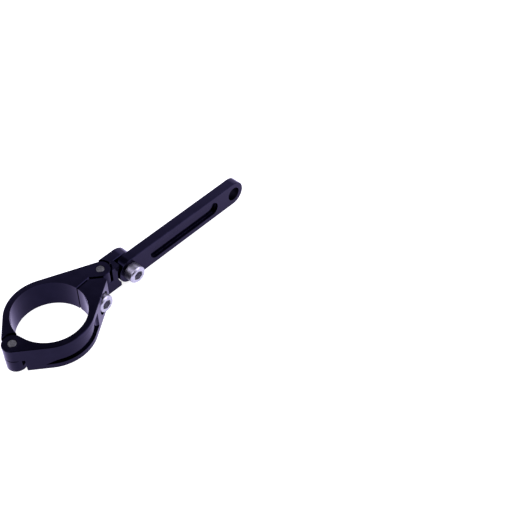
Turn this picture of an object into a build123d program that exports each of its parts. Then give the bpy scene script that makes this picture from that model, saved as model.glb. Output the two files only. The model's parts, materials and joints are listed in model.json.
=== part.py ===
"""Headlight mounting bracket: a hinged fork clamp, a swivel on its pivot pin and a straight arm."""

import os

from build123d import *

os.makedirs("parts", exist_ok=True)

# Fork clamp: a ring in two jaws, hinged behind the tube and pulled together by one screw
fork_diameter = 39.0
ring_wall = 3.4
clamp_height = 16.0
split_gap = 0.8
split_slant = 45.0  # how far the split turns off the centre line, to pass beside the pivot lug
jaw_tip_depth = 3.3  # the screw jaw stops this far short of the pivot pin's centre
jaw_tip_round = 0.8
edge_break = 0.25  # chamfer along the outer edges of the milled pieces

# Half-lap knuckles, each half the clamp's height, turning on plain steel pins
knuckle_radius = 5.4
knuckle_gap = 1.0
swing_gap = 2.0  # round the lower hinge knuckle, where the screw jaw swings open
lap_clearance = 0.1
pin_diameter = 4.7
pin_chamfer = 0.3
running_clearance = 0.05

# Arc groove milled into the outside of each jaw
groove_depth = 1.15
groove_lip = 3.2
groove_cutter_radius = 4.0
groove_end_angle = 56.0
groove_exit_angle = 123.0
groove_run_out = 15.0
cutter_turn = 120.0

# M6 socket head cap screws
screw_diameter = 6.0
screw_clearance = 0.5
thread_clearance = 0.05
tip_chamfer = 0.7
head_diameter = 10.0
head_height = 6.0
head_chamfer = 0.9
hex_size = 5.0
hex_depth = 3.0
clamp_screw_length = 16.0
clamp_screw_inset = 5.8  # from the tube's wall to the screw's axis
clamp_seat_depth = 8.4  # from the clamp's centre line to the seat of the head
counterbore_clearance = 0.75
tapped_hole_spare = 1.6
arm_screw_length = 12.0

# Swivel: a lower half knuckle, a full-height shoulder and an ear beside the arm
pivot_spacing = 11.4  # from the clamp screw's axis to the pivot pin
swivel_rest_angle = -5.0
shoulder_length = 8.5
ear_thickness = 6.0
arm_screw_spacing = 14.7
ear_setback = 1.2  # from the arm screw's axis back to the centre of the ear's round end
seat_clearance = 0.5

# Arm: a flat bar on edge, with a pocket on the screw's side and a hole for the lamp
arm_span = 80.5
arm_height = 15.0
arm_thickness = 6.0
arm_pivot_clearance = 0.075
lamp_hole_diameter = 8.5
pocket_depth = 2.0
pocket_rim = 3.2
pocket_from_screw = 14.7
pocket_from_lamp_hole = 13.3

# Places that follow from the sizes above
fork_radius = fork_diameter / 2
ring_radius = fork_radius + ring_wall
middle = clamp_height / 2
lap_lower = middle - lap_clearance / 2
lap_upper = middle + lap_clearance / 2
relief_radius = knuckle_radius + knuckle_gap
pin_radius = pin_diameter / 2
running_radius = pin_radius + running_clearance
hinge_x = -(fork_radius + knuckle_radius)
clamp_screw_x = fork_radius + clamp_screw_inset
pivot_x = clamp_screw_x + pivot_spacing
jaw_tip_x = pivot_x - jaw_tip_depth
# The slanted end of the split touches the pivot lug, and starts where it leaves the centre line
pivot_centre = Vector(pivot_x, 0)
slant_normal = Vector(-1, 0).rotate(Axis.Z, split_slant)
slant_way = slant_normal.rotate(Axis.Z, -90)
lug_touch = pivot_centre + slant_normal * knuckle_radius
lug_knee = lug_touch + slant_way * ((split_gap / 2 - lug_touch.Y) / slant_way.Y)
swivel_half_width = knuckle_radius
ear_inner_y = swivel_half_width - ear_thickness
ear_end_radius = clamp_height / 2
arm_end_radius = arm_height / 2

swivel_plane = Plane(
    origin=(pivot_x, 0, 0),
    x_dir=Vector(1, 0, 0).rotate(Axis.Z, swivel_rest_angle),
    z_dir=(0, 0, 1),
)
# The face where the ear and the arm meet, looking out through the arm to the screw's head
arm_plane = Plane(
    origin=swivel_plane.from_local_coords((arm_screw_spacing, ear_inner_y, middle)),
    x_dir=swivel_plane.x_dir,
    z_dir=-swivel_plane.y_dir,
)
arm_axis = Axis(arm_plane.origin, arm_plane.z_dir)
arm_way = Axis(arm_plane.origin, arm_plane.x_dir)
clamp_seat = Plane(
    origin=(clamp_screw_x, -clamp_seat_depth, middle), x_dir=(1, 0, 0), z_dir=(0, -1, 0)
)
slant_plane = Plane(origin=pivot_centre + slant_normal * relief_radius, z_dir=slant_normal)

# Outline of both jaws together: ring, hinge knuckle and pivot lug wrapped by straight tangents
with BuildSketch() as clamp_outline:
    with BuildLine():
        CenterArc((0, 0), ring_radius, 0, 360)
        CenterArc((hinge_x, 0), knuckle_radius, 0, 360)
        CenterArc((pivot_x, 0), knuckle_radius, 0, 360)
    make_hull()

# Path of the groove on the side of +Y: a straight way out, an arc round the tube, a cutter's end
groove_radius = ring_radius - groove_depth
groove_height = clamp_height - 2 * groove_lip
exit_start = Vector(groove_radius, 0).rotate(Axis.Z, groove_exit_angle)
exit_end = exit_start + Vector(0, groove_run_out).rotate(Axis.Z, groove_exit_angle)
cutter_centre = Vector(groove_radius + groove_cutter_radius, 0).rotate(Axis.Z, groove_end_angle)
with BuildSketch() as groove_path:
    with BuildLine():
        Line(exit_end, exit_start)
        CenterArc((0, 0), groove_radius, groove_exit_angle, groove_end_angle - groove_exit_angle)
        cutter_end = CenterArc(cutter_centre, groove_cutter_radius, groove_end_angle + 180, cutter_turn)
        ThreePointArc(cutter_end @ 1, (0, ring_radius + groove_run_out), exit_end)
    make_face()


def jaw_rims(jaw):
    """Edges round a jaw's upper and lower faces, apart from those of the tube's bore."""
    by_height = jaw.faces().filter_by(Axis.Z).sort_by(Axis.Z)
    rims = by_height[0].outer_wire().edges() + by_height[-1].outer_wire().edges()
    arcs = rims.filter_by(GeomType.CIRCLE)
    return rims - arcs.filter_by(lambda arc: abs(arc.radius - fork_radius) < edge_break)


def lap_rim(piece, level):
    """Outer arcs of a piece's half-lap knuckles at the given height."""
    arcs = piece.edges().filter_by(GeomType.CIRCLE).filter_by_position(Axis.Z, level, level)
    return arcs.filter_by(lambda arc: abs(arc.radius - knuckle_radius) < edge_break)


# Pivot jaw: carries the lower hinge knuckle, the upper pivot lug and the screw's thread
with BuildPart() as pivot_jaw:
    with BuildSketch():
        add(clamp_outline.sketch)
        Circle(fork_radius, mode=Mode.SUBTRACT)
    extrude(amount=clamp_height)
    split(bisect_by=Plane.XZ.offset(-split_gap / 2), keep=Keep.BOTTOM)
    with BuildSketch(Plane.XY.offset(lap_lower)):
        with Locations((hinge_x, 0)):
            Circle(relief_radius)
    extrude(amount=clamp_height - lap_lower, mode=Mode.SUBTRACT)
    with BuildSketch():
        with Locations((pivot_x, 0)):
            Circle(relief_radius)
    extrude(amount=lap_upper, mode=Mode.SUBTRACT)
    with BuildSketch():
        with Locations((hinge_x, 0)):
            Circle(knuckle_radius)
    extrude(amount=lap_lower)
    with BuildSketch(Plane.XY.offset(lap_upper)):
        with Locations((pivot_x, 0)):
            Circle(knuckle_radius)
        with BuildLine():
            Polyline(lug_knee, lug_touch, (pivot_x, split_gap / 2), close=True)
        make_face()
    extrude(amount=clamp_height - lap_upper)
    with BuildSketch():
        with Locations((hinge_x, 0), (pivot_x, 0)):
            Circle(pin_radius)
    extrude(amount=clamp_height, mode=Mode.SUBTRACT)
    with BuildSketch(clamp_seat):
        Circle(screw_diameter / 2 + thread_clearance)
    extrude(amount=-(clamp_screw_length + tapped_hole_spare), mode=Mode.SUBTRACT)
    with BuildSketch(Plane.XY.offset(groove_lip)):
        add(groove_path.sketch)
    extrude(amount=groove_height, mode=Mode.SUBTRACT)
    chamfer(jaw_rims(pivot_jaw), length=edge_break)
    chamfer(lap_rim(pivot_jaw, lap_lower) + lap_rim(pivot_jaw, lap_upper), length=edge_break)
pivot_jaw.part.label = "pivot_jaw"
export_step(pivot_jaw.part, "parts/pivot_jaw.step")

# Screw jaw: carries the upper hinge knuckle and the sunk seat of the clamp screw
with BuildPart() as screw_jaw:
    with BuildSketch():
        add(clamp_outline.sketch)
        Circle(fork_radius, mode=Mode.SUBTRACT)
    extrude(amount=clamp_height)
    split(bisect_by=Plane.XZ.offset(split_gap / 2), keep=Keep.TOP)
    split(bisect_by=slant_plane, keep=Keep.TOP)
    split(bisect_by=Plane.YZ.offset(jaw_tip_x), keep=Keep.BOTTOM)
    tip_corner = edges().filter_by(Axis.Z).group_by(Axis.X)[-1].sort_by(Axis.Y)[0]
    fillet(tip_corner, radius=jaw_tip_round)
    with BuildSketch():
        with Locations((hinge_x, 0)):
            Circle(knuckle_radius + swing_gap)
    extrude(amount=lap_upper, mode=Mode.SUBTRACT)
    with BuildSketch(Plane.XY.offset(lap_upper)):
        with Locations((hinge_x, 0)):
            Circle(knuckle_radius)
    extrude(amount=clamp_height - lap_upper)
    with BuildSketch(Plane.XY.offset(lap_upper)):
        with Locations((hinge_x, 0)):
            Circle(running_radius)
    extrude(amount=clamp_height - lap_upper, mode=Mode.SUBTRACT)
    with BuildSketch(clamp_seat):
        Circle(screw_diameter / 2 + screw_clearance)
    extrude(amount=-clamp_seat_depth, mode=Mode.SUBTRACT)
    with BuildSketch(clamp_seat):
        Circle(head_diameter / 2 + counterbore_clearance)
    extrude(amount=ring_radius, mode=Mode.SUBTRACT)
    with BuildSketch(Plane.XY.offset(groove_lip)):
        add(groove_path.sketch)
        mirror(about=Plane.XZ, mode=Mode.REPLACE)
    extrude(amount=groove_height, mode=Mode.SUBTRACT)
    chamfer(jaw_rims(screw_jaw), length=edge_break)
    chamfer(lap_rim(screw_jaw, lap_upper), length=edge_break)
screw_jaw.part.label = "screw_jaw"
export_step(screw_jaw.part, "parts/screw_jaw.step")


def knuckle_pin(centre_x, label):
    """Plain pin through a half-lap knuckle, flush with both faces of the clamp."""
    with BuildPart() as pin:
        with BuildSketch():
            with Locations((centre_x, 0)):
                Circle(pin_radius)
        extrude(amount=clamp_height)
        chamfer(pin.edges().filter_by(GeomType.CIRCLE), length=pin_chamfer)
    pin.part.label = label
    return pin


hinge_pin = knuckle_pin(hinge_x, "hinge_pin")
export_step(hinge_pin.part, "parts/hinge_pin.step")
pivot_pin = knuckle_pin(pivot_x, "pivot_pin")
export_step(pivot_pin.part, "parts/pivot_pin.step")


def cap_screw(seat, length, label):
    """Socket head cap screw, its head standing on the seat and its shank running below it."""
    with BuildPart() as screw:
        with BuildSketch(seat):
            Circle(head_diameter / 2)
        extrude(amount=head_height)
        head_faces = screw.faces().filter_by(GeomType.PLANE).sort_by(Axis(seat.origin, seat.z_dir))
        chamfer(head_faces[-1].edges(), length=head_chamfer)
        with BuildSketch(seat):
            Circle(screw_diameter / 2)
        extrude(amount=-length)
        end_faces = screw.faces().filter_by(GeomType.PLANE).sort_by(Axis(seat.origin, seat.z_dir))
        chamfer(end_faces[0].edges(), length=tip_chamfer)
        with BuildSketch(seat.offset(head_height)):
            RegularPolygon(hex_size / 2, 6, major_radius=False)
        extrude(amount=-hex_depth, mode=Mode.SUBTRACT)
    screw.part.label = label
    return screw


clamp_screw = cap_screw(clamp_seat, clamp_screw_length, "clamp_screw")
export_step(clamp_screw.part, "parts/clamp_screw.step")
arm_screw = cap_screw(arm_plane.offset(arm_thickness), arm_screw_length, "arm_screw")
export_step(arm_screw.part, "parts/arm_screw.step")

# Swivel: turns on the pivot pin under the jaw's lug and holds the arm against its ear
with BuildPart() as swivel:
    with BuildSketch(swivel_plane):
        Circle(knuckle_radius)
        Rectangle(shoulder_length, 2 * swivel_half_width, align=(Align.MIN, Align.CENTER))
    extrude(amount=clamp_height)
    with BuildSketch(arm_plane):
        Circle(arm_end_radius + seat_clearance)
    extrude(amount=2 * swivel_half_width, mode=Mode.SUBTRACT)
    with BuildSketch(arm_plane):
        with Locations((shoulder_length - arm_screw_spacing, 0)):
            Rectangle(
                arm_screw_spacing - ear_setback - shoulder_length,
                clamp_height,
                align=(Align.MIN, Align.CENTER),
            )
        with Locations((-ear_setback, 0)):
            Circle(ear_end_radius)
    extrude(amount=-ear_thickness)
    with BuildSketch(swivel_plane.offset(lap_lower)):
        Circle(relief_radius)
    extrude(amount=clamp_height - lap_lower, mode=Mode.SUBTRACT)
    with BuildSketch(swivel_plane):
        Circle(running_radius)
    extrude(amount=clamp_height, mode=Mode.SUBTRACT)
    with BuildSketch(arm_plane):
        Circle(screw_diameter / 2 + thread_clearance)
    extrude(amount=-ear_thickness, mode=Mode.SUBTRACT)
    ear_sides = faces().filter_by(arm_axis).sort_by(arm_axis)
    back_rim = ear_sides[0].outer_wire().edges()
    front_rim = ear_sides[1].outer_wire().edges()
    seat_arcs = front_rim.filter_by(GeomType.CIRCLE).sort_by(arm_way)[:-1]
    ear_rims = back_rim + (front_rim - seat_arcs)
    chamfer(ear_rims - ear_rims.filter_by(Axis.Z) + lap_rim(swivel, lap_lower), length=edge_break)
swivel.part.label = "swivel"
export_step(swivel.part, "parts/swivel.step")

# Arm: clamped on its screw at one end, bored for the lamp's stud at the other
pocket_length = arm_span - pocket_from_screw - pocket_from_lamp_hole
pocket_height = arm_height - 2 * pocket_rim
with BuildPart() as arm:
    with BuildSketch(arm_plane):
        with Locations((arm_span / 2, 0)):
            SlotCenterToCenter(arm_span, arm_height)
        Circle(screw_diameter / 2 + arm_pivot_clearance, mode=Mode.SUBTRACT)
        with Locations((arm_span, 0)):
            Circle(lamp_hole_diameter / 2, mode=Mode.SUBTRACT)
    extrude(amount=arm_thickness)
    with BuildSketch(arm_plane.offset(arm_thickness)):
        with Locations((pocket_from_screw + pocket_length / 2, 0)):
            SlotOverall(pocket_length, pocket_height)
    extrude(amount=-pocket_depth, mode=Mode.SUBTRACT)
    arm_sides = faces().filter_by(arm_axis).sort_by(arm_axis)
    chamfer(arm_sides[0].outer_wire().edges() + arm_sides[-1].outer_wire().edges(), length=edge_break)
arm.part.label = "arm"
export_step(arm.part, "parts/arm.step")
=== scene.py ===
"""Studio scene of the headlight mounting bracket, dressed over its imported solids."""

import json
import logging
import math
from dataclasses import dataclass
from enum import Enum, IntEnum

import bmesh
import bpy
from mathutils import Matrix, Vector


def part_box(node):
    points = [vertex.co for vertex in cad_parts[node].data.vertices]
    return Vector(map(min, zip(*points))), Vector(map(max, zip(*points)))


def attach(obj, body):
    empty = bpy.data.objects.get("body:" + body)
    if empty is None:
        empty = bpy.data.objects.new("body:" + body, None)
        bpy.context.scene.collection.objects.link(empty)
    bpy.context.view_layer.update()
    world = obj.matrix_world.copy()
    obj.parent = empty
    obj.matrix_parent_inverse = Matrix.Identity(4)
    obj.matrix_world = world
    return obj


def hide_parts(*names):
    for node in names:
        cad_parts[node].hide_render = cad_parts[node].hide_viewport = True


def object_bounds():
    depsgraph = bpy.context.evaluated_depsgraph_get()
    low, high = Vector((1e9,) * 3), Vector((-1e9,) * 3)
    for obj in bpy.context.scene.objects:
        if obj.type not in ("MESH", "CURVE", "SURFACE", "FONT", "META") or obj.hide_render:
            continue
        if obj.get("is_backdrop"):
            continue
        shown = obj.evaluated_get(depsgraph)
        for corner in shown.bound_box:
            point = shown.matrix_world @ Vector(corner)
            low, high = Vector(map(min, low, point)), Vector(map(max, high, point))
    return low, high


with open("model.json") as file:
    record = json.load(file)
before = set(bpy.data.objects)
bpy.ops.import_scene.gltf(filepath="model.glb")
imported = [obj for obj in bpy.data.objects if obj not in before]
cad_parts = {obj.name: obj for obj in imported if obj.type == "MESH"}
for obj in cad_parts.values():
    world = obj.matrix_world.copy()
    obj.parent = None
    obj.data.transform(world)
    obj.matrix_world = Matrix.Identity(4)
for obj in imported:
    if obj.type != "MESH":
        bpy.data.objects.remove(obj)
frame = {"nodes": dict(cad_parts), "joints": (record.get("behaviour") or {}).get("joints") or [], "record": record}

LOG = logging.getLogger("bracket")
MM = 0.001
WELD_MM = 0.0005
WAVE_REPEAT = 0.314  # length of one band of the wave texture at a scale of 1

Colour = tuple[float, float, float]
Point = tuple[float, float, float]
Span = tuple[float, float]
Ring = list[bmesh.types.BMVert]

WHITE: Colour = (1.0, 1.0, 1.0)
UNIT: Span = (0.0, 1.0)
UP = Vector((0, 0, 1))


class Body(str, Enum):
    """The rigid bodies of the bracket that pieces ride on."""

    CLAMP = "clamp"
    SCREW_JAW = "screw_jaw"
    CLAMP_SCREW = "clamp_screw"
    SWIVEL = "swivel"
    ARM = "arm"


class Slot(str, Enum):
    """The record's material slots."""

    ANODISED = "black_anodised"
    BRIGHT = "bright_steel"
    GROUND = "ground_steel"


class MilledFace(IntEnum):
    """The kinds of face of a milled piece, in the order of its materials."""

    FLAT = 0
    EDGE = 1
    BORE = 2


class ScrewFace(IntEnum):
    """The kinds of face of a screw, in the order of its materials."""

    CROWN = 0
    SOCKET = 1
    TURNED = 2


class NodeGraph:
    """Adds and joins shader nodes in one node tree."""

    def __init__(self, tree: bpy.types.NodeTree) -> None:
        """Empties the tree and keeps it."""
        self.tree = tree
        tree.nodes.clear()

    def add(
        self, kind: str, inputs: dict[str | int, object] | None = None, **settings: object
    ) -> bpy.types.Node:
        """Adds a node with its settings and fills its inputs.

        Args:
            kind: Blender's name of the node type.
            inputs: A value, or the socket to join, for each input by name or place.
            settings: Attributes of the node.

        Returns:
            The new node.
        """
        node = self.tree.nodes.new(kind)
        for name, value in settings.items():
            setattr(node, name, value)
        for name, value in (inputs or {}).items():
            if isinstance(value, bpy.types.NodeSocket):
                self.tree.links.new(value, node.inputs[name])
            else:
                node.inputs[name].default_value = value
        return node

    def combine(self, operation: str, *values: bpy.types.NodeSocket | float) -> bpy.types.NodeSocket:
        """Joins values by one operation of the math node, and returns the socket of the result."""
        return self.add("ShaderNodeMath", dict(enumerate(values)), operation=operation).outputs[0]

    def noise(self, place: bpy.types.NodeSocket, size_mm: float, layers: float) -> bpy.types.NodeSocket:
        """Gives a noise value with features of one size.

        Args:
            place: Coordinates in metres.
            size_mm: Size of the features.
            layers: Number of finer layers.

        Returns:
            The socket of the noise value.
        """
        inputs = {"Vector": place, "Scale": 1.0 / (size_mm * MM), "Detail": layers}
        return self.add("ShaderNodeTexNoise", inputs).outputs["Fac"]

    def ramp(self, value: bpy.types.NodeSocket, span: Span, ends: Span = UNIT) -> bpy.types.NodeSocket:
        """Maps a value smoothly from one span onto another.

        Args:
            value: Socket of the value.
            span: Limits of the value.
            ends: What the value becomes at the two limits.

        Returns:
            The socket of the mapped value.
        """
        inputs = {
            "Value": value,
            "From Min": span[0],
            "From Max": span[1],
            "To Min": ends[0],
            "To Max": ends[1],
        }
        return self.add("ShaderNodeMapRange", inputs, interpolation_type="SMOOTHSTEP").outputs["Result"]

    def blend(
        self, share: bpy.types.NodeSocket, first: Colour, second: Colour
    ) -> bpy.types.NodeSocket:
        """Mixes two colours by a share, and returns the socket of the mixture."""
        inputs = {"Factor": share, 6: (*first, 1.0), 7: (*second, 1.0)}
        return self.add("ShaderNodeMix", inputs, data_type="RGBA").outputs[2]

    def places(self) -> bpy.types.NodeSocket:
        """Gives the coordinates of the object itself, in metres."""
        return self.add("ShaderNodeTexCoord").outputs["Object"]

    def bump(
        self,
        height: bpy.types.NodeSocket,
        depth_mm: float,
        strength: float,
        under: bpy.types.NodeSocket | None = None,
    ) -> bpy.types.NodeSocket:
        """Turns a height into a normal.

        Args:
            height: Height from 0 to 1.
            depth_mm: Real depth of the relief.
            strength: How strongly it shows.
            under: Normal that this relief is laid over.

        Returns:
            The socket of the normal.
        """
        inputs = {"Height": height, "Distance": depth_mm * MM, "Strength": strength}
        if under is not None:
            inputs["Normal"] = under
        return self.add("ShaderNodeBump", inputs).outputs["Normal"]

    def surface(self, shader: bpy.types.Node) -> None:
        """Joins a shader to the output of the tree."""
        self.add("ShaderNodeOutputMaterial", {"Surface": shader.outputs[0]})


def new_material(name: str) -> tuple[bpy.types.Material, NodeGraph]:
    """Makes an empty material with nodes.

    Args:
        name: Name of the material.

    Returns:
        The material and its graph.
    """
    material = bpy.data.materials.new(name)
    material.use_nodes = True
    return material, NodeGraph(material.node_tree)


@dataclass(frozen=True)
class AnodisedFinish:
    """Satin black anodising over milled aluminium, with a violet cast."""

    name: str
    deep_tone: Colour
    light_tone: Colour
    cast: Colour = (0.86, 0.81, 1.0)
    roughness: Span = (0.08, 0.18)
    cloud_mm: float = 7.0
    cloud_layers: float = 5.0
    tone_span: Span = (0.35, 0.68)
    haze_span: Span = (0.3, 0.75)
    grain_mm: float = 0.16
    grain_layers: float = 2.0
    grain_depth_mm: float = 0.002
    grain_strength: float = 0.35
    feed_mm: float = 0.45
    feed_layers: float = 2.0
    feed_wander: float = 1.5
    feed_depth_mm: float = 0.002
    feed_strength: float = 0.2

    def material(self) -> bpy.types.Material:
        """Makes the material: cloudy dye, blasted grain and faint lines of the cutter's feed.

        Returns:
            The new material.
        """
        material, graph = new_material(self.name)
        place = graph.places()
        cloud = graph.noise(place, self.cloud_mm, self.cloud_layers)
        grain = graph.noise(place, self.grain_mm, self.grain_layers)
        feed = graph.add(
            "ShaderNodeTexWave",
            {
                "Vector": place,
                "Scale": WAVE_REPEAT / (self.feed_mm * MM),
                "Distortion": self.feed_wander,
                "Detail": self.feed_layers,
            },
            bands_direction="DIAGONAL",
        ).outputs["Fac"]
        tone = graph.blend(graph.ramp(cloud, self.tone_span), self.deep_tone, self.light_tone)
        fine = graph.bump(grain, self.grain_depth_mm, self.grain_strength)
        shader = graph.add(
            "ShaderNodeBsdfPrincipled",
            {
                "Base Color": tone,
                "Roughness": graph.ramp(cloud, self.haze_span, self.roughness),
                "Metallic": 1.0,
                "Specular Tint": (*self.cast, 1.0),
                "Normal": graph.bump(feed, self.feed_depth_mm, self.feed_strength, fine),
            },
        )
        graph.surface(shader)
        return material


@dataclass(frozen=True)
class SteelFinish:
    """Steel with duller patches over a fine grain."""

    name: str
    bright_tone: Colour
    dull_tone: Colour
    roughness: Span
    patch_mm: float
    tone_span: Span
    haze_span: Span
    grain_mm: float
    grain_depth_mm: float
    grain_strength: float
    patch_layers: float = 4.0
    grain_layers: float = 2.0

    def material(self) -> bpy.types.Material:
        """Makes the material: patches that are duller and rougher, and the grain's relief.

        Returns:
            The new material.
        """
        material, graph = new_material(self.name)
        place = graph.places()
        patch = graph.noise(place, self.patch_mm, self.patch_layers)
        grain = graph.noise(place, self.grain_mm, self.grain_layers)
        tone = graph.blend(graph.ramp(patch, self.tone_span), self.bright_tone, self.dull_tone)
        shader = graph.add(
            "ShaderNodeBsdfPrincipled",
            {
                "Base Color": tone,
                "Metallic": 1.0,
                "Roughness": graph.ramp(patch, self.haze_span, self.roughness),
                "Normal": graph.bump(grain, self.grain_depth_mm, self.grain_strength),
            },
        )
        graph.surface(shader)
        return material


@dataclass(frozen=True)
class PlatedFinish(SteelFinish):
    """Zinc plating, a little uneven."""

    bright_tone: Colour = (0.44, 0.42, 0.53)
    dull_tone: Colour = (0.36, 0.345, 0.43)
    roughness: Span = (0.28, 0.4)
    patch_mm: float = 1.1
    tone_span: Span = (0.38, 0.7)
    haze_span: Span = (0.3, 0.75)
    grain_mm: float = 0.12
    grain_depth_mm: float = 0.002
    grain_strength: float = 0.3


@dataclass(frozen=True)
class GroundFinish(SteelFinish):
    """Bare ground steel, darker and coarser than the plating."""

    bright_tone: Colour = (0.097, 0.095, 0.105)
    dull_tone: Colour = (0.055, 0.054, 0.06)
    roughness: Span = (0.34, 0.55)
    patch_mm: float = 0.9
    tone_span: Span = (0.35, 0.7)
    haze_span: Span = (0.3, 0.7)
    grain_mm: float = 0.15
    grain_depth_mm: float = 0.006
    grain_strength: float = 0.4


@dataclass(frozen=True)
class Finishes:
    """The materials of all pieces."""

    anodised: bpy.types.Material
    worn_edge: bpy.types.Material
    drilled: bpy.types.Material
    plated: bpy.types.Material
    turned: bpy.types.Material
    socket: bpy.types.Material
    ground: bpy.types.Material

    @classmethod
    def make(cls) -> "Finishes":
        """Makes each material once.

        Returns:
            All the materials.
        """
        return cls(
            anodised=AnodisedFinish(
                "black_anodised", deep_tone=(0.0068, 0.006, 0.0165), light_tone=(0.0082, 0.0072, 0.0195)
            ).material(),
            # Painted highlight: the broken edges get a lighter tone than the flats, so that they shine brighter.
            worn_edge=AnodisedFinish(
                "anodised_edge", deep_tone=(0.009, 0.008, 0.02), light_tone=(0.016, 0.0145, 0.032)
            ).material(),
            # Painted shade: the bore walls get darker tones and a weak cast, so that holes and the screw seat read
            # dark; their rougher finish is their own.
            drilled=AnodisedFinish(
                "anodised_bore",
                deep_tone=(0.004, 0.004, 0.007),
                light_tone=(0.007, 0.0065, 0.012),
                cast=(0.16, 0.15, 0.22),
                roughness=(0.45, 0.6),
            ).material(),
            plated=PlatedFinish("bright_zinc").material(),
            # Painted shade: the heads' sides get about half the plating's tone, so that they read darker than the
            # crown.
            turned=PlatedFinish(
                "turned_zinc",
                bright_tone=(0.22, 0.21, 0.26),
                dull_tone=(0.18, 0.17, 0.215),
                roughness=(0.38, 0.48),
            ).material(),
            socket=PlatedFinish(
                "dull_socket",
                bright_tone=(0.48, 0.47, 0.54),
                dull_tone=(0.32, 0.31, 0.36),
                roughness=(0.44, 0.56),
            ).material(),
            ground=GroundFinish("ground_pin_steel").material(),
        )


def add_piece(
    name: str,
    mesh: bpy.types.Mesh,
    node: str,
    body: Body,
    materials: list[bpy.types.Material],
) -> None:
    """Puts a finished mesh on its body in place of a node.

    Args:
        name: Name of the new piece.
        mesh: Mesh in the bracket's own frame.
        node: Node that the piece stands for.
        body: Body that it rides on.
        materials: Materials, in the order of the mesh's face indices.
    """
    for material in materials:
        mesh.materials.append(material)
    piece = bpy.data.objects.new(name, mesh)
    bpy.context.scene.collection.objects.link(piece)
    normals = piece.modifiers.new("flat_faces", "WEIGHTED_NORMAL")
    normals.keep_sharp = True
    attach(piece, body.value)
    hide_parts(node)
    LOG.info("%s: %d faces on %s", name, len(mesh.polygons), body.value)


@dataclass(frozen=True)
class Bore:
    """A hole made by drilling, by its axis and radius in metres."""

    point: Vector
    axis: Vector
    radius: float
    margin: float = 0.05 * MM

    def holds(self, face: bmesh.types.BMFace) -> bool:
        """Tells whether a face lies within the hole.

        Args:
            face: Face in the bracket's own frame.

        Returns:
            Whether all its corners are on the hole's wall or inside it.
        """
        arms = [vertex.co - self.point for vertex in face.verts]
        reach = [(arm - self.axis * arm.dot(self.axis)).length for arm in arms]
        return max(reach) < self.radius + self.margin


@dataclass
class MilledPiece:
    """A black piece milled from solid, with its edges broken."""

    node: str
    body: Body
    edge_break_mm: float
    bores: tuple[Bore, ...] = ()
    edge_steps: int = 2
    edge_profile: float = 0.5
    flat_angle: float = 0.6
    sharp_angle: float = 26.0

    def mesh(self) -> bpy.types.Mesh:
        """Copies the node's faces, joins its flats and breaks its sharp edges.

        Returns:
            The finished mesh.
        """
        work = bmesh.new()
        work.from_mesh(frame["nodes"][self.node].data)
        bmesh.ops.remove_doubles(work, verts=work.verts, dist=WELD_MM * MM)
        bmesh.ops.dissolve_limit(
            work, angle_limit=math.radians(self.flat_angle), verts=work.verts, edges=work.edges
        )
        limit = math.radians(self.sharp_angle)
        sharp = [edge for edge in work.edges if edge.calc_face_angle(0.0) > limit]
        for face in work.faces:
            face.smooth = True
            face.material_index = MilledFace.FLAT
        bmesh.ops.bevel(
            work,
            geom=sharp,
            offset=self.edge_break_mm * MM,
            offset_type="OFFSET",
            segments=self.edge_steps,
            profile=self.edge_profile,
            affect="EDGES",
            material=MilledFace.EDGE,
            clamp_overlap=True,
        )
        # Faces inside the bores take the bore material, darkened with painted shade.
        for face in work.faces:
            if any(bore.holds(face) for bore in self.bores):
                face.material_index = MilledFace.BORE
        mesh = bpy.data.meshes.new(self.node)
        work.to_mesh(mesh)
        work.free()
        return mesh

    def dress(self, finishes: Finishes) -> None:
        """Builds the piece with its finishes: flats, edges with a painted highlight, and bore walls darkened with
        painted shade.
        """
        materials = [finishes.anodised, finishes.worn_edge, finishes.drilled]
        add_piece(f"{self.node}_milled", self.mesh(), self.node, self.body, materials)


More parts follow.
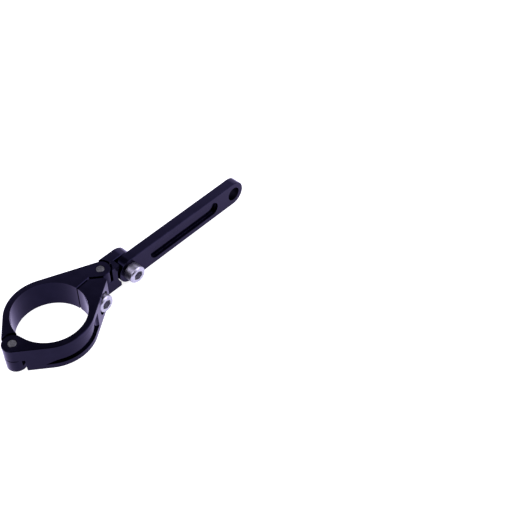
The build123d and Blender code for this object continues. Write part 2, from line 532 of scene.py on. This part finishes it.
class Lathe:
    """Builds a lathe-cut mesh ring by ring about its own Z axis, in millimetres."""

    def __init__(self, steps: int) -> None:
        """Starts an empty mesh.

        Args:
            steps: Number of steps to a turn.
        """
        self.steps = steps
        self.work = bmesh.new()
        self.last: Ring = []
        self.finish = 0

    def face(self, *corners: bmesh.types.BMVert) -> None:
        """Adds a face with the present finish."""
        self.work.faces.new(corners).material_index = self.finish

    def ring(self, radius: float, height: float) -> None:
        """Adds a round, level ring and joins it to the one before."""
        self.shaped([radius] * self.steps, [height] * self.steps)

    def shaped(self, radii: list[float], heights: list[float]) -> None:
        """Adds a ring of any shape and joins it to the one before.

        Args:
            radii: Radius at each step.
            heights: Height at each step.
        """
        new = []
        for step, (radius, height) in enumerate(zip(radii, heights)):
            turn = math.tau * step / self.steps
            place = (radius * math.cos(turn), radius * math.sin(turn), height)
            new.append(self.work.verts.new(place))
        for step in range(self.steps if self.last else 0):
            after = (step + 1) % self.steps
            self.face(self.last[step], self.last[after], new[after], new[step])
        self.last = new

    def start(self, height: float, radius: float) -> None:
        """Begins with a flat fan from one point on the axis to a first ring.

        Args:
            height: Height of the fan.
            radius: Radius of the ring.
        """
        point = self.work.verts.new((0.0, 0.0, height))
        self.ring(radius, height)
        for step in range(self.steps):
            self.face(point, self.last[(step + 1) % self.steps], self.last[step])

    def close(self, height: float) -> None:
        """Closes the last ring with a fan to one point on the axis.

        Args:
            height: Height of the point.
        """
        point = self.work.verts.new((0.0, 0.0, height))
        for step in range(self.steps):
            self.face(self.last[step], self.last[(step + 1) % self.steps], point)

    def mesh(self, name: str, place: Matrix, sharp_angle: float) -> bpy.types.Mesh:
        """Finishes the mesh and puts it in place.

        Args:
            name: Name of the mesh.
            place: Matrix from the lathe's millimetres to the bracket's frame.
            sharp_angle: Edges that turn by more than this many degrees stay sharp.

        Returns:
            The finished mesh.
        """
        bmesh.ops.recalc_face_normals(self.work, faces=self.work.faces)
        limit = math.radians(sharp_angle)
        for face in self.work.faces:
            face.smooth = True
        for edge in self.work.edges:
            edge.smooth = edge.calc_face_angle(0.0) < limit
        bmesh.ops.transform(self.work, matrix=place, verts=self.work.verts)
        mesh = bpy.data.meshes.new(name)
        self.work.to_mesh(mesh)
        self.work.free()
        return mesh


def axis_place(point: Vector, axis: Vector) -> Matrix:
    """Gives the matrix, with the change of unit, from a lathe's millimetres to an axis in metres."""
    turn = axis.to_track_quat("Z", "Y").to_matrix().to_4x4()
    return Matrix.Translation(point) @ turn @ Matrix.Scale(MM, 4)


def span_along(node: str, point: Vector, axis: Vector) -> Span:
    """Gives how far a node reaches along an axis, lowest and highest, in metres."""
    reach = [(vertex.co - point).dot(axis) for vertex in frame["nodes"][node].data.vertices]
    return min(reach), max(reach)


@dataclass
class KnucklePin:
    """A plain steel pin, flush with the clamp's faces, with lathe-cut ends."""

    node: str
    chamfer_mm: float = 0.3
    ring_mm: float = 1.5
    ring_width_mm: float = 0.22
    ring_depth_mm: float = 0.07
    steps: int = 64
    sharp_angle: float = 24.0

    def mesh(self) -> bpy.types.Mesh:
        """Turns the pin: both ends have a chamfer and a faint ring.

        Returns:
            The finished mesh.
        """
        low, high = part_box(self.node)
        radius = (high.x - low.x) / 2 / MM
        length = (high.z - low.z) / MM
        half_ring = self.ring_width_mm / 2
        end = [
            (self.ring_mm - half_ring, 0.0),
            (self.ring_mm, self.ring_depth_mm),
            (self.ring_mm + half_ring, 0.0),
            (radius - self.chamfer_mm, 0.0),
            (radius, self.chamfer_mm),
        ]
        lathe = Lathe(self.steps)
        lathe.start(0.0, end[0][0])
        for at, depth in end[1:]:
            lathe.ring(at, depth)
        for at, depth in reversed(end):
            lathe.ring(at, length - depth)
        lathe.close(length)
        foot = Vector(((low.x + high.x) / 2, (low.y + high.y) / 2, low.z))
        return lathe.mesh(self.node, axis_place(foot, UP), self.sharp_angle)

    def dress(self, finishes: Finishes) -> None:
        """Builds the pin in ground steel."""
        name = f"{self.node}_ground"
        add_piece(name, self.mesh(), self.node, Body.CLAMP, [finishes.ground])


@dataclass
class CapScrew:
    """A socket head cap screw with a lathe-cut head, a hex socket and a real thread."""

    node: str
    body: Body
    head_mm: float = 10.0
    head_height_mm: float = 6.0
    crown_mm: float = 0.9
    crown_round_mm: float = 0.12
    foot_mm: float = 0.25
    seat_gap_mm: float = 0.02
    hex_mm: float = 5.0
    hex_depth_mm: float = 3.0
    hex_ledge_mm: float = 0.25
    mouth_mm: float = 5.9
    mouth_slope: float = 0.45
    drill_point_mm: float = 1.1
    drill_tip_mm: float = 0.05
    shank_mm: float = 6.0
    pitch_mm: float = 1.0
    thread_depth_mm: float = 0.55
    thread_flat: float = 0.125
    row_offset_mm: float = 1e-4
    tip_mm: float = 0.7
    steps: int = 192
    rows_to_pitch: int = 8
    sharp_angle: float = 32.0

    def hexagon(self, inset: float) -> list[float]:
        """Gives the radius of a hexagon inside the socket.

        Args:
            inset: How far its sides lie inside the socket's walls.

        Returns:
            The radius at each step.
        """
        flat = self.hex_mm / 2 - inset
        sector = math.pi / 3
        turns = [math.tau * step / self.steps for step in range(self.steps)]
        return [flat / math.cos((turn + sector / 2) % sector - sector / 2) for turn in turns]

    def cut_head(self, lathe: Lathe) -> None:
        """Turns the head from the bottom of its socket, over the crown, down to its seat.

        Args:
            lathe: Empty lathe.
        """
        top = self.head_height_mm
        floor = top - self.hex_depth_mm
        radius = self.head_mm / 2
        crown = radius - self.crown_mm
        round_off = self.crown_round_mm
        mouth = self.mouth_mm / 2
        socket = self.hexagon(0.0)
        level_floor = [floor] * self.steps
        lathe.finish = ScrewFace.SOCKET
        lathe.start(floor - self.drill_point_mm, self.drill_tip_mm)
        lathe.shaped(self.hexagon(self.hex_ledge_mm), level_floor)
        lathe.shaped(socket, level_floor)
        lathe.shaped(socket, [top - self.mouth_slope * (mouth - reach) for reach in socket])
        lathe.ring(mouth, top)
        lathe.finish = ScrewFace.CROWN
        lathe.ring(crown - round_off, top)
        lathe.ring(crown + round_off, top - round_off)
        lathe.ring(radius - round_off, top - self.crown_mm + round_off)
        lathe.ring(radius, top - self.crown_mm - round_off)
        lathe.finish = ScrewFace.TURNED
        lathe.ring(radius, self.foot_mm)
        lathe.ring(radius - self.foot_mm, self.seat_gap_mm)

    def cut_thread(self, lathe: Lathe, length: float) -> None:
        """Cuts the shank below the seat: a helix from under the head to the chamfered tip.

        Args:
            lathe: Lathe with the head on it.
            length: Length from the seat to the tip.
        """
        radius = self.shank_mm / 2
        rows = round((length - self.tip_mm) / self.pitch_mm * self.rows_to_pitch)
        lathe.ring(radius, self.seat_gap_mm)
        lathe.ring(radius, -self.pitch_mm)
        for row in range(self.rows_to_pitch, rows + 1):
            below = row * self.pitch_mm / self.rows_to_pitch
            fade = min(1.0, (row - self.rows_to_pitch) / self.rows_to_pitch)
            radii = []
            for step in range(self.steps):
                phase = (below / self.pitch_mm + step / self.steps) % 1.0
                slope = (1 + 2 * self.thread_flat) * abs(2 * phase - 1) - self.thread_flat
                radii.append(radius - fade * self.thread_depth_mm * min(1.0, max(0.0, slope)))
            lathe.shaped(radii, [-below - self.row_offset_mm] * self.steps)
        lathe.ring(radius - self.tip_mm, -length)
        lathe.close(-length)

    def mesh(self, point: Vector, axis: Vector) -> bpy.types.Mesh:
        """Builds the screw on its axis.

        Args:
            point: A point on the axis.
            axis: Direction from the tip to the head.

        Returns:
            The finished mesh.
        """
        tip, top = span_along(self.node, point, axis)
        lathe = Lathe(self.steps)
        self.cut_head(lathe)
        self.cut_thread(lathe, (top - tip) / MM - self.head_height_mm)
        seat = point + axis * (top - self.head_height_mm * MM)
        return lathe.mesh(self.node, axis_place(seat, axis), self.sharp_angle)

    def dress(self, point: Vector, axis: Vector, finishes: Finishes) -> None:
        """Builds the screw on its axis: bright zinc on the crown, a dull socket, and the head's side darkened with
        painted shade.

        Args:
            point: A point on the axis.
            axis: Direction from the tip to the head.
            finishes: Materials of all pieces.
        """
        mesh = self.mesh(point, axis)
        # The head's side takes the zinc darkened with painted shade.
        materials = [finishes.plated, finishes.socket, finishes.turned]
        add_piece(f"{self.node}_plated", mesh, self.node, self.body, materials)


def joint(name: str) -> dict[str, object]:
    """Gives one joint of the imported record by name."""
    return next(row for row in frame["joints"] if row["name"] == name)


def mount(name: str) -> dict[str, object]:
    """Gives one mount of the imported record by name."""
    return next(row for row in frame["record"]["mounts"] if row["name"] == name)


@dataclass
class ForkClamp:
    """The two jaws of the clamp, the pins in their knuckles and the screw that closes them."""

    edge_break_mm: float = 0.1
    seat_mm: float = 11.5

    def dress(self, finishes: Finishes) -> None:
        """Builds the jaws, the pins and the clamp screw.

        Args:
            finishes: Materials of all pieces.
        """
        low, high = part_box("clamp_screw")
        centre = (low + high) / 2
        outward = Vector(joint("clamp_screw_travel")["axis"])
        seat = Bore(centre, outward, self.seat_mm / 2 * MM)
        MilledPiece("pivot_jaw", Body.CLAMP, self.edge_break_mm).dress(finishes)
        MilledPiece("screw_jaw", Body.SCREW_JAW, self.edge_break_mm, (seat,)).dress(finishes)
        for node in ("hinge_pin", "pivot_pin"):
            KnucklePin(node).dress(finishes)
        CapScrew("clamp_screw", Body.CLAMP_SCREW).dress(centre, outward, finishes)


@dataclass
class SwivelArm:
    """The swivel on the pivot pin, the lamp's arm and the screw that holds it."""

    edge_break_mm: float = 0.1

    def dress(self, finishes: Finishes) -> None:
        """Builds the swivel, the arm and the arm screw.

        Args:
            finishes: Materials of all pieces.
        """
        MilledPiece("swivel", Body.SWIVEL, self.edge_break_mm).dress(finishes)
        hole = mount("lamp_hole")
        bore = Bore(Vector(hole["pos_m"]), Vector(hole["axis"]), hole["dims"]["r_mm"] * MM)
        MilledPiece("arm", Body.ARM, self.edge_break_mm, (bore,)).dress(finishes)
        tilt = joint("arm_tilt")
        outward = -Vector(tilt["axis"])
        CapScrew("arm_screw", Body.SWIVEL).dress(Vector(tilt["pos_m"]), outward, finishes)


@dataclass(frozen=True)
class SoftBox:
    """A square lamp with soft light."""

    name: str
    place_mm: Point
    side_mm: float
    watts: float

    def hang(self, aim_mm: Point, tint: Colour) -> None:
        """Hangs the lamp in its place.

        Args:
            aim_mm: Where it points.
            tint: Colour of its light.
        """
        data = bpy.data.lights.new(self.name, "AREA")
        data.size = self.side_mm * MM
        data.energy = self.watts
        data.color = tint
        lamp = bpy.data.objects.new(self.name, data)
        bpy.context.scene.collection.objects.link(lamp)
        place = Vector(self.place_mm) * MM
        way = Vector(aim_mm) * MM - place
        turn = way.to_track_quat("-Z", "Y").to_matrix().to_4x4()
        lamp.matrix_world = Matrix.Translation(place) @ turn


@dataclass
class Studio:
    """White floor, soft light and the camera at the photograph's place."""

    image_px: float = 520.0
    focal_px: float = 920.2
    sensor_mm: float = 36.0
    camera_mm: Point = (-176.56, -254.44, 371.35)
    heading: float = 35.54
    elevation: float = 47.07
    roll: float = 1.47
    view_from_m: float = 0.01
    view_to_m: float = 20.0
    floor_mm: float = 6000.0
    floor_glow: float = 0.86
    floor_tone: float = 0.6
    floor_tint: Colour = (0.83, 0.81, 1.0)
    light_tint: Colour = (0.9, 0.885, 1.0)
    sky_strength: float = 2.5
    zenith_strength: float = 0.3
    zenith_span: Span = (0.6, 0.81)
    horizon_share: float = 0.5
    horizon_span: Span = (0.1, 0.5)
    behind_share: float = 0.03
    behind_span: Span = (-0.75, -0.1)
    aim_mm: Point = (45.0, 0.0, 0.0)
    lamps: tuple[SoftBox, ...] = (
        SoftBox("key_lamp", (-260.0, 120.0, 520.0), side_mm=420.0, watts=2.2),
        SoftBox("fill_lamp", (260.0, -320.0, 420.0), side_mm=380.0, watts=1.0),
    )

    def place_camera(self) -> None:
        """Makes the camera from its heading off +X, elevation and roll."""
        data = bpy.data.cameras.new("camera")
        data.sensor_width = self.sensor_mm
        data.lens = self.focal_px / self.image_px * self.sensor_mm
        data.clip_start = self.view_from_m
        data.clip_end = self.view_to_m
        camera = bpy.data.objects.new("camera", data)
        bpy.context.scene.collection.objects.link(camera)
        turn, tilt = math.radians(self.heading), math.radians(self.elevation)
        ahead = Vector(
            (math.cos(turn) * math.cos(tilt), math.sin(turn) * math.cos(tilt), -math.sin(tilt))
        )
        level = ahead.to_track_quat("-Z", "Y").to_matrix().to_4x4()
        leaning = level @ Matrix.Rotation(math.radians(self.roll), 4, "Z")
        camera.matrix_world = Matrix.Translation(Vector(self.camera_mm) * MM) @ leaning
        bpy.context.scene.camera = camera

    def lay_floor(self, height: float) -> None:
        """Lays the floor under the bracket: pale paper, white to the camera and tinted in mirrors.

        Args:
            height: Height of the bracket's lowest point, in metres.
        """
        half = self.floor_mm * MM / 2
        mesh = bpy.data.meshes.new("floor")
        signs = [(-1, -1), (1, -1), (1, 1), (-1, 1)]
        corners = [(across * half, along * half, height) for across, along in signs]
        mesh.from_pydata(corners, [], [(0, 1, 2, 3)])
        floor = bpy.data.objects.new("floor", mesh)
        bpy.context.scene.collection.objects.link(floor)
        material, graph = new_material("white_floor")
        path = graph.add("ShaderNodeLightPath").outputs
        mirrored = graph.combine("MAXIMUM", path["Is Glossy Ray"], path["Is Transmission Ray"])
        glow = graph.combine("MULTIPLY_ADD", path["Is Camera Ray"], self.floor_glow, mirrored)
        tint = graph.blend(mirrored, WHITE, self.floor_tint)
        light = graph.add("ShaderNodeEmission", {"Color": tint, "Strength": glow})
        paper = graph.add("ShaderNodeBsdfDiffuse", {"Color": (*[self.floor_tone] * 3, 1.0)})
        graph.surface(graph.add("ShaderNodeAddShader", {0: light.outputs[0], 1: paper.outputs[0]}))
        mesh.materials.append(material)
        floor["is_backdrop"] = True

    def light_world(self) -> None:
        """Lights the world: bright half way up, dim overhead and behind the camera, white to it."""
        world = bpy.data.worlds.new("studio")
        bpy.context.scene.world = world
        world.use_nodes = True
        graph = NodeGraph(world.node_tree)
        way = graph.add("ShaderNodeTexCoord").outputs["Generated"]
        rise = graph.add("ShaderNodeSeparateXYZ", {0: way}).outputs["Z"]
        turn = math.radians(self.heading)
        ahead = graph.add(
            "ShaderNodeVectorMath",
            {0: way, 1: (math.cos(turn), math.sin(turn), 0.0)},
            operation="DOT_PRODUCT",
        ).outputs["Value"]
        sky = graph.ramp(rise, self.zenith_span, (self.sky_strength, self.zenith_strength))
        low = graph.ramp(rise, self.horizon_span, (self.horizon_share, 1.0))
        behind = graph.ramp(ahead, self.behind_span, (self.behind_share, 1.0))
        strength = graph.combine("MULTIPLY", graph.combine("MULTIPLY", sky, low), behind)
        soft = graph.add(
            "ShaderNodeBackground", {"Color": (*self.light_tint, 1.0), "Strength": strength}
        )
        white = graph.add("ShaderNodeBackground", {"Color": (*WHITE, 1.0), "Strength": 1.0})
        seen = graph.add("ShaderNodeLightPath").outputs["Is Camera Ray"]
        mixed = graph.add("ShaderNodeMixShader", {0: seen, 1: soft.outputs[0], 2: white.outputs[0]})
        graph.add("ShaderNodeOutputWorld", {"Surface": mixed.outputs[0]})

    def build(self, lowest: float) -> None:
        """Builds the camera, the floor and the lights round the bracket.

        Args:
            lowest: Height of the bracket's lowest point, in metres.
        """
        self.place_camera()
        self.lay_floor(lowest)
        self.light_world()
        for lamp in self.lamps:
            lamp.hang(self.aim_mm, self.light_tint)
        bpy.context.scene.view_settings.view_transform = "Standard"


def main() -> None:
    """Dresses the bracket and builds the studio round it."""
    logging.basicConfig(level=logging.INFO, format="%(name)s %(message)s")
    solid_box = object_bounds()
    finishes = Finishes.make()
    ForkClamp().dress(finishes)
    SwivelArm().dress(finishes)
    Studio().build(solid_box[0].z)


if __name__ == "__main__":
    main()
